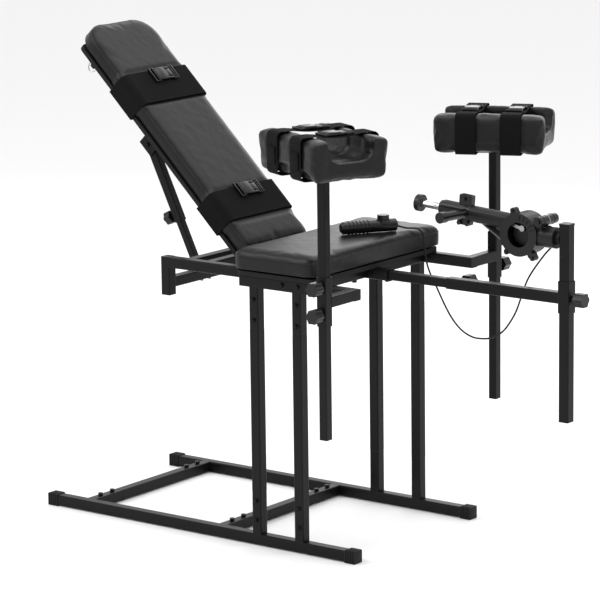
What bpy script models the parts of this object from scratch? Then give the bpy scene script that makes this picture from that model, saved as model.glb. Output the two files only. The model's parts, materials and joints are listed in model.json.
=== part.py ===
"""A reclining padded chair with swivelling leg rests and a reciprocating drive, in metres, +Z up.

X runs from the backrest to the drive, and -Y is the sitter's right. Every place below is written in the chair's
own frame, whose X is zero near the rear uprights. The root empty moves it so that the origin is the middle of the
footprint. Tubes are square: bars are welded with Boolean unions and then bored hollow.
"""

import math

import bmesh
import bpy
from mathutils import Matrix, Vector

# Square tubes
TUBE = 0.030
STUB = 0.0296
CROSS = 0.0292
SLIM_TUBE = 0.025
WALL = 0.0015
CORNER = 0.003
GAP = 0.0003
WELD_DEPTH = 0.005

# Base
RAIL_Y = 0.272
RAIL_Z = 0.018
RAIL_REAR = -0.6935
RAIL_FRONT = 0.3835
CAP = 0.036
CAP_WALL = 0.004
CROSSBAR_X = {"rear": -0.560, "mid": -0.083}
CROSSBAR_JOINT_Y = 0.140
CROSSBAR_BOLTS_Y = (0.168, 0.219)

# Uprights
UPRIGHT_X = {"rear": 0.056, "front": 0.200}
FOOT_TOP = 0.152
HEAD_BOTTOM = 0.600
SPIGOT_BOTTOM = 0.050
SPIGOT_TOP = 0.705
FOOT_BOLTS_Z = (0.072, 0.126)
HEAD_BOLTS_Z = (0.627, 0.684)

# Seat frame
BEAM_Z = 0.731
BEAM_REAR = 0.010
BEAM_FRONT = 0.235
MEMBER_END = RAIL_Y - TUBE / 2 - GAP
FRONT_MEMBER_X = 0.215
REAR_MEMBER_X = 0.030
RECEIVER = (0.120, 0.303)
ARM_BOLTS_X = (0.153, 0.206)

# Rear frame under the reclined backrest
REAR_ARM_Y = 0.185
REAR_DROP_X = -0.321
REAR_DROP_BOTTOM = 0.640
REAR_CROSS_X = (-0.248, -0.180)
LOWER_CROSS_Z = 0.673

# Seat and backrest cushions
SEAT_BOARD_Z = (0.7463, 0.7590)
SEAT_TOP = 0.822
SEAT_X = (-0.008, 0.268)
SEAT_HALF_WIDTH = 0.300
HINGE = Vector((-0.074, 0.0, 0.7535))
BACK_ANGLE = math.radians(44.6)
BACK_LENGTH = 0.836
BACK_BOTTOM = 0.022
BACK_HALF_WIDTH = 0.142
BACK_CUSHION_X = (-0.0185, 0.0335)
BACK_BOARD_X = (-0.0305, -0.0188)
STRAP_BANDS = {"lower": (0.115, 0.214), "upper": (0.538, 0.643)}
STRAP_THICKNESS = 0.0025

# Telescopic strut
STRUT_FOOT = Vector((-0.356, 0.0, 0.662))
STRUT_HEAD = Vector((-0.527, 0.0, 1.018))
STRUT_INNER = 0.020
STRUT_INNER_LENGTH = 0.250
STRUT_OUTER_LENGTH = 0.235

# Leg rests
SLEEVE_X = 0.376
SLEEVE_Y = 0.395
SLEEVE_Z = (0.668, 0.798)
SLEEVE_BORE = 0.026
LEG_KNOBS_Z = {"upper": 0.772, "lower": 0.700}
POST_LENGTH = 0.700
PAD_BOTTOM = {"r": 1.070, "l": 1.028}
PAD_SIZE = (0.310, 0.225, 0.110)
PAD_WALL = 0.050
PAD_FLOOR = 0.047
PAD_TURN = math.radians(24)

# Drive beam, post and their knobs
OUTER_BEAM_START = 0.495
BEAM_INNER = (0.130, 0.620)
POST_X = 0.867
POST_Z = (0.402, 0.925)
POST_SLEEVE_Z = (0.692, 0.777)
POST_SLEEVE = 0.0346
KNOB_RADIUS = 0.020
KNOB_GAP = 0.0005
POST_KNOB_REACH = (0.012, 0.028)
CENTRE_X = (RAIL_REAR - CAP_WALL - 0.0005 + POST_X + POST_SLEEVE / 2 + KNOB_GAP + sum(POST_KNOB_REACH)) / 2

# Drive unit
THRUST_LINE_START = Vector((0.660, 0.0, 0.9188))
THRUST_SLOPE = math.radians(4.42)
ROD_RADIUS = 0.0095
BARREL_RADIUS = 0.022
GEAR_CENTRE = Vector((0.735, 0.0, 0.889))
GEAR_RADIUS = 0.0575
GEAR_WALL = 0.003
COVER_OPENING = 0.033
COVER_EARS = ((-0.017, 0.063), (0.044, -0.057), (-0.037, -0.048))
CRANK_THROW = 0.015
CONROD_LENGTH = 0.062
HUB_RADIUS = 0.028
HUB_X = (0.7935, 0.8385)

# Hand controller and cord
HANDSET_CENTRE = Vector((0.177, 0.0755, 0.840))
HANDSET_DIRECTION = Vector((0.555, 0.832, 0.0)).normalized()
HANDSET_LENGTH = 0.164
CORD_RADIUS = 0.0025
SEAT_RUN = (
    (0.2235, 0.1452, 0.8360),
    (0.2310, 0.1570, 0.8310),
    (0.2400, 0.1700, 0.8270),
    (0.2510, 0.1810, 0.8262),
    (0.2620, 0.1890, 0.8240),
    (0.2710, 0.1940, 0.8150),
    (0.2750, 0.1970, 0.7980),
    (0.2765, 0.1985, 0.7750),
    (0.2800, 0.1980, 0.7480),
    (0.2900, 0.1945, 0.7200),
    (0.3080, 0.1890, 0.6920),
    (0.3310, 0.1820, 0.6640),
    (0.3570, 0.1740, 0.6300),
    (0.3920, 0.1620, 0.5940),
    (0.4320, 0.1480, 0.5690),
    (0.4780, 0.1310, 0.5580),
)
DRIVE_RUN = (
    (0.4830, 0.1293, 0.5578),
    (0.5200, 0.1170, 0.5600),
    (0.5620, 0.1060, 0.5700),
    (0.6080, 0.0940, 0.5970),
    (0.6500, 0.0830, 0.6480),
    (0.6740, 0.0760, 0.6950),
    (0.6940, 0.0690, 0.7370),
    (0.7140, 0.0620, 0.7670),
    (0.7430, 0.0550, 0.8020),
    (0.7740, 0.0490, 0.8360),
    (0.8060, 0.0450, 0.8640),
    (0.8380, 0.0415, 0.8850),
    (0.8580, 0.0385, 0.8945),
    (0.8665, 0.0330, 0.8970),
    (0.8670, 0.0243, 0.8970),
)

X, Y, Z = range(3)
SIDES = (("r", -1), ("l", 1))

for old in list(bpy.data.objects):
    bpy.data.objects.remove(old, do_unlink=True)

PARTS = bpy.data.collections.new("reclining_chair")
HELPERS = bpy.data.collections.new("welds_and_bores")
for collection in (PARTS, HELPERS):
    bpy.context.scene.collection.children.link(collection)
HELPERS.hide_render = True


def look(name, colour, roughness, metallic=0.0):
    """A plain Principled material."""
    material = bpy.data.materials.new(name)
    material.use_nodes = True
    shader = material.node_tree.nodes["Principled BSDF"]
    shader.inputs["Base Color"].default_value = (*colour, 1.0)
    shader.inputs["Roughness"].default_value = roughness
    shader.inputs["Metallic"].default_value = metallic
    material.diffuse_color = (*colour, 1.0)
    return material


POWDER = look("powder_coat", (0.025, 0.025, 0.027), 0.45)
LEATHER = look("leatherette", (0.022, 0.023, 0.026), 0.5)
WEBBING = look("webbing", (0.010, 0.010, 0.011), 0.85)
PLASTIC = look("black_plastic", (0.012, 0.012, 0.013), 0.35)
RUBBER = look("black_rubber", (0.016, 0.016, 0.016), 0.7)
PLY = look("black_board", (0.018, 0.017, 0.016), 0.7)
STEEL = look("bright_steel", (0.60, 0.60, 0.61), 0.3, 1.0)
CHROME = look("chrome", (0.80, 0.80, 0.82), 0.08, 1.0)
ALUMINIUM = look("black_aluminium", (0.030, 0.030, 0.032), 0.4, 0.6)


def empty(name, location, parent=None, turn=0.0, axis=Y):
    """A frame to build in, turned about one axis, and on the joint's axis where its children move."""
    frame = bpy.data.objects.new(name, None)
    PARTS.objects.link(frame)
    frame.parent = parent
    frame.location = location
    frame.rotation_euler[axis] = turn
    return frame


ROOT = empty("chair", (-CENTRE_X, 0.0, 0.0))


def place(name, shape, material, parent, origin, collection=PARTS):
    """Makes an object of a bmesh whose points are in the parent's frame, with its origin at a given point."""
    bmesh.ops.translate(shape, verts=shape.verts, vec=-Vector(origin))
    mesh = bpy.data.meshes.new(name)
    shape.to_mesh(mesh)
    shape.free()
    mesh.shade_smooth()
    mesh.set_sharp_from_angle(angle=math.radians(35))
    if material:
        mesh.materials.append(material)
    made = bpy.data.objects.new(name, mesh)
    collection.objects.link(made)
    made.parent = parent
    made.location = origin
    return made


def build(name, material, solids, bores=(), parent=ROOT, origin=(0.0, 0.0, 0.0)):
    """One node: the first solid, with the others welded on and the bores cut out of the whole."""
    made = place(name, solids[0], material, parent, origin)
    steps = [("UNION", shape) for shape in solids[1:]] + [("DIFFERENCE", shape) for shape in bores]
    for number, (operation, shape) in enumerate(steps):
        helper = place(f"{name}_{operation.lower()}_{number}", shape, None, parent, origin, HELPERS)
        helper.hide_render = True
        helper.display_type = "WIRE"
        step = made.modifiers.new(helper.name, "BOOLEAN")
        step.operation = operation
        step.solver = "EXACT"
        step.object = helper
    return made


def box(low, high, corner=0.0, along=None, segments=2):
    """A box, with every edge rounded, or only the four that run along one axis."""
    shape = bmesh.new()
    bmesh.ops.create_cube(shape, size=1.0)
    low, high = Vector(low), Vector(high)
    bmesh.ops.scale(shape, vec=high - low, verts=shape.verts)
    bmesh.ops.translate(shape, vec=(low + high) / 2, verts=shape.verts)
    if corner:
        edges = [
            edge
            for edge in shape.edges
            if along is None or abs((edge.verts[1].co - edge.verts[0].co)[along]) > 1e-6
        ]
        round_edges(shape, edges, corner, segments)
    return shape


def round_edges(shape, edges, radius, segments):
    """Rounds some of a bmesh's edges."""
    bmesh.ops.bevel(
        shape, geom=edges, offset=radius, segments=segments, profile=0.5, affect="EDGES", material=-1
    )


def bar(axis, first, last, centre, side=TUBE, corner=CORNER):
    """A square bar along an axis; centre's value on that axis isn't used."""
    low = [value - side / 2 for value in centre]
    high = [value + side / 2 for value in centre]
    low[axis], high[axis] = min(first, last), max(first, last)
    return box(low, high, corner, axis)


def bore(axis, first, last, centre, tube=TUBE):
    """The hollow of a square tube."""
    return bar(axis, first, last, centre, tube - 2 * WALL, 0.0)


def cylinder(start, end, radius, sides=24, end_radius=None):
    """A capped cylinder or cone between two points."""
    shape = bmesh.new()
    start, end = Vector(start), Vector(end)
    bmesh.ops.create_cone(
        shape,
        cap_ends=True,
        segments=sides,
        radius1=radius,
        radius2=radius if end_radius is None else end_radius,
        depth=(end - start).length,
    )
    turn = (end - start).to_track_quat("Z", "Y").to_matrix().to_4x4()
    bmesh.ops.transform(shape, matrix=Matrix.Translation((start + end) / 2) @ turn, verts=shape.verts)
    return shape


def star_grip(start, end, radius, lobes=6, wave=0.07, sides=36):
    """A lobed disc between two points, as a knob's grip."""
    shape = cylinder((0, 0, 0), (0, 0, (Vector(end) - Vector(start)).length), radius, sides)
    for vertex in shape.verts:
        angle = math.atan2(vertex.co.y, vertex.co.x)
        swell = 1 - wave + wave * math.cos(lobes * angle)
        vertex.co.x *= swell
        vertex.co.y *= swell
    turn = (Vector(end) - Vector(start)).to_track_quat("Z", "Y").to_matrix().to_4x4()
    bmesh.ops.transform(shape, matrix=Matrix.Translation(Vector(start)) @ turn, verts=shape.verts)
    return shape


def knob(name, foot, outward, parent=ROOT, neck=0.012, depth=0.028):
    """A hand knob standing on a tube's face: a neck and a lobed grip, turning on its own axis."""
    foot, outward = Vector(foot), Vector(outward)
    start = foot + outward * KNOB_GAP
    shoulder = start + outward * neck
    grip = star_grip(shoulder - outward * 0.0005, shoulder + outward * depth, KNOB_RADIUS)
    return build(name, PLASTIC, [grip, cylinder(start, shoulder, 0.009, 16)], parent=parent, origin=foot)


def button_bolt(point, outward, sides=6):
    """The two solids of a button-head bolt: a shaft that starts inside the tube, and its head outside."""
    point, outward = Vector(point), Vector(outward)
    return [
        cylinder(point - outward * 0.0042, point + outward * 0.0015, 0.003, sides),
        cylinder(point + outward * 0.0005, point + outward * 0.0065, 0.0065, 12, 0.0045),
    ]


def hex_bolt(point, outward):
    """The two solids of a hexagon-head bolt."""
    point, outward = Vector(point), Vector(outward)
    return [
        cylinder(point - outward * 0.0044, point + outward * 0.0015, 0.003, 6),
        cylinder(point + outward * 0.0005, point + outward * 0.0080, 0.0070, 6),
    ]


def bolt_hole(point, outward):
    """The clearance hole for a bolt through a tube's wall."""
    point, outward = Vector(point), Vector(outward)
    return cylinder(point - outward * 0.004, point + outward * 0.002, 0.0037, 8)


def base():
    """Rails with their feet, crossbars and end caps."""
    for tag, side in SIDES:
        centre = (0.0, side * RAIL_Y, RAIL_Z)
        solids = [bar(X, RAIL_REAR, RAIL_FRONT, centre)]
        bores = [bore(X, RAIL_REAR - 0.01, RAIL_FRONT + 0.01, centre)]
        inner_wall = side * (RAIL_Y - TUBE / 2 + WALL / 3)
        for x in CROSSBAR_X.values():
            stub = (x, 0.0, RAIL_Z)
            solids.append(bar(Y, side * CROSSBAR_JOINT_Y, inner_wall + side * WELD_DEPTH, stub, STUB))
            bores.append(bore(Y, side * (CROSSBAR_JOINT_Y - 0.01), inner_wall, stub, STUB))
            for y in CROSSBAR_BOLTS_Y:
                bores.append(bolt_hole((x, side * y, RAIL_Z + STUB / 2), (0, 0, 1)))
        rail_top = RAIL_Z + TUBE / 2 - WALL / 3
        for x in UPRIGHT_X.values():
            stub = (x, side * RAIL_Y, 0.0)
            solids.append(bar(Z, rail_top - WELD_DEPTH, FOOT_TOP, stub, STUB))
            bores.append(bore(Z, rail_top, FOOT_TOP + 0.01, stub, STUB))
            for z in FOOT_BOLTS_Z:
                bores.append(bolt_hole((x, side * (RAIL_Y + STUB / 2), z), (0, side, 0)))
        build(f"base_rail_{tag}", POWDER, solids, bores)
        for end, outer, inner, rail_end in (
            ("rear", RAIL_REAR - CAP_WALL - 0.0005, RAIL_REAR - 0.0005 - CAP_WALL + CAP, RAIL_REAR - 0.0005),
            ("front", RAIL_FRONT + CAP_WALL + 0.0005, RAIL_FRONT + 0.0005 + CAP_WALL - CAP, RAIL_FRONT + 0.0005),
        ):
            pocket_mouth = inner + (inner - outer)
            build(
                f"rail_cap_{end}_{tag}",
                RUBBER,
                [bar(X, outer, inner, centre, CAP, 0.004)],
                [bar(X, rail_end, pocket_mouth, centre, TUBE + 2 * GAP, 0.0)],
            )
    for tag, x in CROSSBAR_X.items():
        centre = (x, 0.0, RAIL_Z)
        half = CROSSBAR_JOINT_Y - GAP
        solids = [bar(Y, -half, half, centre), bar(Y, -0.235, 0.235, centre, SLIM_TUBE, 0.0025)]
        for y in CROSSBAR_BOLTS_Y:
            for side in (-1, 1):
                solids += hex_bolt((x, side * y, RAIL_Z + STUB / 2), (0, 0, 1))
        build(f"crossbar_{tag}", POWDER, solids, [bore(Y, -0.25, 0.25, centre, SLIM_TUBE)])


def uprights():
    """Four risers whose slim spigots bolt into the feet below and the heads above."""
    for tag, side in SIDES:
        for end, x in UPRIGHT_X.items():
            centre = (x, side * RAIL_Y, 0.0)
            solids = [
                bar(Z, FOOT_TOP + GAP, HEAD_BOTTOM - GAP, centre),
                bar(Z, SPIGOT_BOTTOM, SPIGOT_TOP, centre, SLIM_TUBE, 0.0025),
            ]
            for z in FOOT_BOLTS_Z + HEAD_BOLTS_Z:
                solids += button_bolt((x, side * (RAIL_Y + STUB / 2), z), (0, side, 0))
            hollow = bore(Z, SPIGOT_BOTTOM - 0.01, SPIGOT_TOP + 0.01, centre, SLIM_TUBE)
            build(f"riser_{end}_{tag}", POWDER, solids, [hollow])


def seat_frame():
    """Side beams with the uprights' heads, and the two members across."""
    beam_bottom = BEAM_Z - TUBE / 2 + WALL / 3
    for tag, side in SIDES:
        centre = (0.0, side * RAIL_Y, BEAM_Z)
        solids = [bar(X, BEAM_REAR, BEAM_FRONT, centre)]
        bores = [bore(X, BEAM_REAR - 0.01, BEAM_FRONT + 0.01, centre)]
        for x in UPRIGHT_X.values():
            stub = (x, side * RAIL_Y, 0.0)
            solids.append(bar(Z, HEAD_BOTTOM, beam_bottom + WELD_DEPTH, stub, STUB))
            bores.append(bore(Z, HEAD_BOTTOM - 0.01, beam_bottom, stub, STUB))
            for z in HEAD_BOLTS_Z:
                bores.append(bolt_hole((x, side * (RAIL_Y + STUB / 2), z), (0, side, 0)))
        for x in ARM_BOLTS_X:
            bores.append(bolt_hole((x, side * (RAIL_Y + TUBE / 2), BEAM_Z + 0.0035), (0, side, 0)))
        build(f"side_frame_{tag}", POWDER, solids, bores)

    front = (FRONT_MEMBER_X, 0.0, BEAM_Z)
    receiver_end = RECEIVER[1]
    build(
        "seat_front_member",
        POWDER,
        [
            bar(Y, -MEMBER_END, MEMBER_END, front, STUB),
            bar(X, RECEIVER[0], receiver_end, front),
            bar(X, receiver_end - 0.006, receiver_end + 0.0004, front, 0.035),
            cylinder((0.215, -0.045, 0.708), (0.215, -0.045, 0.7172), 0.007, 6),
        ],
        [
            bore(X, RECEIVER[0] - 0.01, receiver_end + 0.01, front),
            bore(Y, -MEMBER_END - 0.01, -TUBE / 2, front, STUB),
            bore(Y, TUBE / 2, MEMBER_END + 0.01, front, STUB),
        ],
    )

    rear = (REAR_MEMBER_X, 0.0, BEAM_Z)
    solids = [bar(Y, -MEMBER_END, MEMBER_END, rear, STUB)]
    for side in (-1, 1):
        near, far = sorted((side * 0.059, side * 0.065))
        solids.append(box((-0.080, near, 0.7320), (0.0160, far, 0.7452)))
        solids.append(cylinder((HINGE.x, near, HINGE.z), (HINGE.x, far, HINGE.z), 0.013, 20))
    build(
        "seat_rear_member",
        POWDER,
        solids,
        [
            bore(Y, -MEMBER_END - 0.01, MEMBER_END + 0.01, rear, STUB),
            cylinder((HINGE.x, -0.1, HINGE.z), (HINGE.x, 0.1, HINGE.z), 0.0053, 16),
        ],
    )
    build(
        "hinge_pin",
        STEEL,
        [
            cylinder((HINGE.x, -0.070, HINGE.z), (HINGE.x, 0.070, HINGE.z), 0.005, 16),
            cylinder((HINGE.x, -0.0715, HINGE.z), (HINGE.x, -0.0655, HINGE.z), 0.008, 16),
            cylinder((HINGE.x, 0.0655, HINGE.z), (HINGE.x, 0.0715, HINGE.z), 0.008, 16),
        ],
        origin=HINGE,
    )


def rear_frame():
    """The welded frame behind the seat that holds the strut's clevis."""
    solids, bores = [], []
    for side in (-1, 1):
        drop = (REAR_DROP_X, side * REAR_ARM_Y, 0.0)
        arm = (0.0, side * REAR_ARM_Y, BEAM_Z)
        drop_front = REAR_DROP_X + TUBE / 2
        solids.append(bar(Z, REAR_DROP_BOTTOM, BEAM_Z + TUBE / 2, drop))
        solids.append(bar(X, drop_front - WELD_DEPTH, REAR_MEMBER_X - TUBE / 2 - GAP, arm, STUB))
        bores.append(bore(Z, REAR_DROP_BOTTOM - 0.01, BEAM_Z + TUBE / 2 - WALL, drop))
        bores.append(bore(X, drop_front - 0.003, REAR_MEMBER_X, arm, STUB))
    reach = REAR_ARM_Y - TUBE / 2 + WALL / 2
    for x, z in ((REAR_CROSS_X[0], BEAM_Z), (REAR_CROSS_X[1], BEAM_Z), (REAR_DROP_X, LOWER_CROSS_Z)):
        solids.append(bar(Y, -reach - WELD_DEPTH, reach + WELD_DEPTH, (x, 0.0, z), CROSS))
        bores.append(bore(Y, -reach - 0.008, reach + 0.008, (x, 0.0, z), CROSS))
    for side in (-1, 1):
        near, far = sorted((side * 0.0145, side * 0.0195))
        solids.append(box((-0.372, near, 0.6470), (-0.3352, far, 0.6770)))
    solids.append(cylinder((STRUT_FOOT.x, -0.024, STRUT_FOOT.z), (STRUT_FOOT.x, 0.024, STRUT_FOOT.z), 0.004, 16))
    build("rear_frame", POWDER, solids, bores)


def rounded_slab(low, high, corners, rim):
    """A cushion whose thin side is X, given as radii at its foot and its head, and the rounding of its front rim."""
    shape = box(low, high)
    for level, radius in ((low[Z], corners[0]), (high[Z], corners[1])):
        edges = [
            edge
            for edge in shape.edges
            if all(abs(vertex.co.z - level) < 1e-5 for vertex in edge.verts)
            and abs(edge.verts[0].co.x - edge.verts[1].co.x) > 1e-5
            and all(abs(abs(vertex.co.y) - high[Y]) < 1e-5 for vertex in edge.verts)
        ]
        round_edges(shape, edges, radius, 5)
    front = [edge for edge in shape.edges if all(abs(vertex.co.x - high[X]) < 1e-5 for vertex in edge.verts)]
    round_edges(shape, front, rim, 3)
    return shape


def seat():
    """The seat board and the cushion on it."""
    build(
        "seat_board",
        PLY,
        [box((0.0, -0.290, SEAT_BOARD_Z[0]), (0.260, 0.290, SEAT_BOARD_Z[1]), 0.015, Z, 3)],
    )
    shape = box(
        (SEAT_X[0], -SEAT_HALF_WIDTH, SEAT_BOARD_Z[1] + GAP), (SEAT_X[1], SEAT_HALF_WIDTH, SEAT_TOP), 0.030, Z, 4
    )
    top = [edge for edge in shape.edges if all(abs(vertex.co.z - SEAT_TOP) < 1e-5 for vertex in edge.verts)]
    round_edges(shape, top, 0.020, 3)
    build("seat_cushion", LEATHER, [shape])


def backrest():
    """The hinged backrest, built in its own frame: Z up the back, X out of its front."""
    back = empty("backrest_hinge", HINGE, ROOT, BACK_ANGLE - math.pi / 2)
    plate_back = BACK_BOARD_X[0] - GAP - 0.005
    plate_front = BACK_BOARD_X[0] - GAP
    solids = [box((plate_back, -0.090, 0.030), (plate_front, 0.090, 0.078), 0.006, X, 2)]
    for side in (-1, 1):
        near, far = sorted((side * 0.047, side * 0.053))
        solids.append(box((plate_back - 0.005, near, -0.010), (plate_front - 0.0008, far, 0.060)))
        solids.append(box((plate_back - 0.0046, near + 1e-4, -0.0096), (0.0, far - 1e-4, 0.0100)))
        solids.append(cylinder((0.0, near, 0.0), (0.0, far, 0.0), 0.012, 20))
    build("hinge_leaf", POWDER, solids, [cylinder((0, -0.1, 0), (0, 0.1, 0), 0.0053, 16)], back)

    up, out = Vector((-math.cos(BACK_ANGLE), 0, math.sin(BACK_ANGLE))), Vector(
        (math.sin(BACK_ANGLE), 0, math.cos(BACK_ANGLE))
    )
    head_up, head_out = (STRUT_HEAD - HINGE).dot(up), (STRUT_HEAD - HINGE).dot(out)
    solids = [box((plate_back, -0.035, head_up - 0.055), (plate_front, 0.035, head_up + 0.028), 0.006, X, 2)]
    for side in (-1, 1):
        near, far = sorted((side * 0.0145, side * 0.0185))
        solids.append(box((head_out - 0.016, near, head_up - 0.030), (plate_back + 0.001, far, head_up + 0.024)))
        head = side * 0.0180
        solids.append(cylinder((head_out, head, head_up), (head_out, side * 0.0240, head_up), 0.007, 6))
    build("strut_bracket", POWDER, solids, (), back)

    board_top = 0.806
    ring_up = 0.739
    staple = (BACK_BOARD_X[0] - 0.0095, -0.133, ring_up - 0.007)
    build(
        "backrest_board",
        PLY,
        [
            box((BACK_BOARD_X[0], -0.138, BACK_BOTTOM), (BACK_BOARD_X[1], 0.138, board_top), 0.015, X, 3),
            box(staple, (BACK_BOARD_X[0] + 0.001, -0.127, ring_up + 0.007)),
        ],
        [cylinder((staple[X] + 0.004, -0.130, ring_up - 0.02), (staple[X] + 0.004, -0.130, ring_up + 0.02), 0.0022, 12)],
        back,
    )
    cushion = rounded_slab(
        (BACK_CUSHION_X[0], -BACK_HALF_WIDTH, BACK_BOTTOM),
        (BACK_CUSHION_X[1], BACK_HALF_WIDTH, BACK_LENGTH),
        (0.025, 0.070),
        0.018,
    )
    build("backrest_cushion", LEATHER, [cushion], (), back)
    for tag, (low, high) in STRAP_BANDS.items():
        skin = STRAP_THICKNESS + GAP
        inner_low = (BACK_BOARD_X[0] - GAP, -BACK_HALF_WIDTH - GAP, low - 0.01)
        inner_high = (BACK_CUSHION_X[1] + GAP, BACK_HALF_WIDTH + GAP, high + 0.01)
        outer_low = (inner_low[X] - STRAP_THICKNESS, -BACK_HALF_WIDTH - skin, low)
        outer_high = (inner_high[X] + STRAP_THICKNESS, BACK_HALF_WIDTH + skin, high)
        outside, inside = box(outer_low, outer_high), box(inner_low, inner_high)
        for shape, front, radius in ((outside, outer_high[X], 0.0195), (inside, inner_high[X], 0.0170)):
            edges = [
                edge
                for edge in shape.edges
                if all(abs(vertex.co.x - front) < 1e-5 for vertex in edge.verts)
                and abs(edge.verts[0].co.z - edge.verts[1].co.z) > 1e-5
            ]
            round_edges(shape, edges, radius, 3)
        build(f"back_strap_{tag}", WEBBING, [outside], [inside], back)

    ring_x = staple[X] + 0.004
    ring(back, Vector((ring_x, -0.130, ring_up)))


def ring(parent, centre):
    """A D-shaped wire ring that hangs in the staple: a straight side and a half circle."""
    radius, half = 0.014, 0.014
    points = [Vector((0, 0, -half)), Vector((0, 0, 0)), Vector((0, 0, half))]
    for step in range(1, 12):
        angle = math.pi * step / 12
        points.append(Vector((-radius * math.sin(angle) * 1.35, 0, half * math.cos(angle))))
    curve = bpy.data.curves.new("d_ring", "CURVE")
    curve.dimensions = "3D"
    curve.bevel_depth = 0.0015
    curve.bevel_resolution = 2
    spline = curve.splines.new("POLY")
    spline.points.add(len(points) - 1)
    for point, co in zip(spline.points, points):
        point.co = (*co, 1.0)
    spline.use_cyclic_u = True
    curve.materials.append(STEEL)
    made = bpy.data.objects.new("d_ring", curve)
    PARTS.objects.link(made)
    made.parent = parent
    made.location = centre


def strut():
    """The telescopic prop: a slim tube on the rear frame's clevis, and the tube that slides on it."""
    reach = STRUT_HEAD - STRUT_FOOT
    lean = math.atan2(reach.x, reach.z)
    foot = empty("strut_foot", STRUT_FOOT, ROOT, lean)
    length = reach.length
    build(
        "strut_lower",
        POWDER,
        [
            bar(Z, -0.012, STRUT_INNER_LENGTH, (0, 0, 0), STRUT_INNER, 0.002),
            cylinder((0, -0.0140, 0), (0, 0.0140, 0), 0.008, 16),
        ],
        [
            bar(Z, 0.012, STRUT_INNER_LENGTH + 0.01, (0, 0, 0), STRUT_INNER - 2 * WALL, 0.0),
            cylinder((0, -0.1, 0), (0, 0.1, 0), 0.0044, 16),
        ],
        foot,
    )
    bottom = length - STRUT_OUTER_LENGTH
    build(
        "strut_upper",
        POWDER,
        [bar(Z, bottom, length + 0.015, (0, 0, 0), SLIM_TUBE, 0.0025)],
        [bar(Z, bottom - 0.01, length + 0.012, (0, 0, 0), SLIM_TUBE - 2 * WALL, 0.0)],
        foot,
    )
    knob("strut_knob", (-SLIM_TUBE / 2, 0, bottom + 0.022), (-1, 0, 0), foot, 0.008, 0.020)


def leg_rests():
    """Arms, posts, knobs and trough pads, the same on both sides but for the posts' heights."""
    for tag, side in SIDES:
        beam = (0.0, side * RAIL_Y, BEAM_Z)
        across = (SLEEVE_X + 0.001, 0.0, BEAM_Z)
        upright = (SLEEVE_X, side * SLEEVE_Y, 0.0)
        sleeve_face = SLEEVE_Y - TUBE / 2 + WALL / 3
        corner_x = SLEEVE_X + TUBE / 2 + 0.001
        solids = [
            bar(X, BEAM_FRONT + 0.0005, corner_x, beam),
            bar(X, 0.090, BEAM_FRONT + 0.02, beam, SLIM_TUBE, 0.0025),
            bar(Y, side * (RAIL_Y - 0.010), side * (sleeve_face + WELD_DEPTH), across, STUB),
            bar(Z, SLEEVE_Z[0], SLEEVE_Z[1], upright),
        ]
        for x in ARM_BOLTS_X:
            solids += button_bolt((x, side * (RAIL_Y + TUBE / 2), BEAM_Z + 0.0035), (0, side, 0))
        bores = [
            bore(X, 0.080, BEAM_FRONT + 0.015, beam, SLIM_TUBE),
            bore(X, BEAM_FRONT + 0.0148, corner_x - WALL, beam),
            bore(Y, side * RAIL_Y, side * sleeve_face, across, STUB),
            bar(Z, SLEEVE_Z[0] - 0.01, SLEEVE_Z[1] + 0.01, upright, SLEEVE_BORE, 0.0),
        ]
        build(f"leg_arm_{tag}", POWDER, solids, bores)
        for end, z in LEG_KNOBS_Z.items():
            knob(f"leg_knob_{end}_{tag}", (SLEEVE_X, side * (SLEEVE_Y + TUBE / 2), z), (0, side, 0))

        pad_bottom = PAD_BOTTOM[tag]
        post_top = pad_bottom - 0.0045
        build(
            f"leg_post_{tag}",
            POWDER,
            [bar(Z, post_top - POST_LENGTH, post_top, upright, SLIM_TUBE, 0.0025)],
            [bore(Z, post_top - POST_LENGTH - 0.01, post_top + 0.01, upright, SLIM_TUBE)],
            origin=(SLEEVE_X, side * SLEEVE_Y, post_top),
        )
        turn = empty(f"pad_pivot_{tag}", (SLEEVE_X, side * SLEEVE_Y, pad_bottom), ROOT, side * PAD_TURN, Z)
        build(
            f"pad_plate_{tag}",
            POWDER,
            [
                box((-0.075, -0.045, -0.0042), (0.075, 0.045, -GAP), 0.010, Z, 3),
                cylinder((0, 0, -0.040), (0, 0, -0.003), 0.0100, 20),
            ],
            (),
            turn,
        )
        half_length, half_width, height = PAD_SIZE[0] / 2, PAD_SIZE[1] / 2, PAD_SIZE[2]
        outside = box((-half_length, -half_width, 0.0), (half_length, half_width, height), 0.016, None, 3)
        trough = box(
            (-half_length - 0.02, PAD_WALL - half_width, PAD_FLOOR),
            (half_length + 0.02, half_width - PAD_WALL, height + 0.04),
        )
        floor_edges = [
            edge
            for edge in trough.edges
            if all(abs(vertex.co.z - PAD_FLOOR) < 1e-5 for vertex in edge.verts)
            and abs(edge.verts[0].co.x - edge.verts[1].co.x) > 1e-5
        ]
        round_edges(trough, floor_edges, 0.030, 4)
        build(f"leg_pad_{tag}", LEATHER, [outside], [trough], turn)


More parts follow.
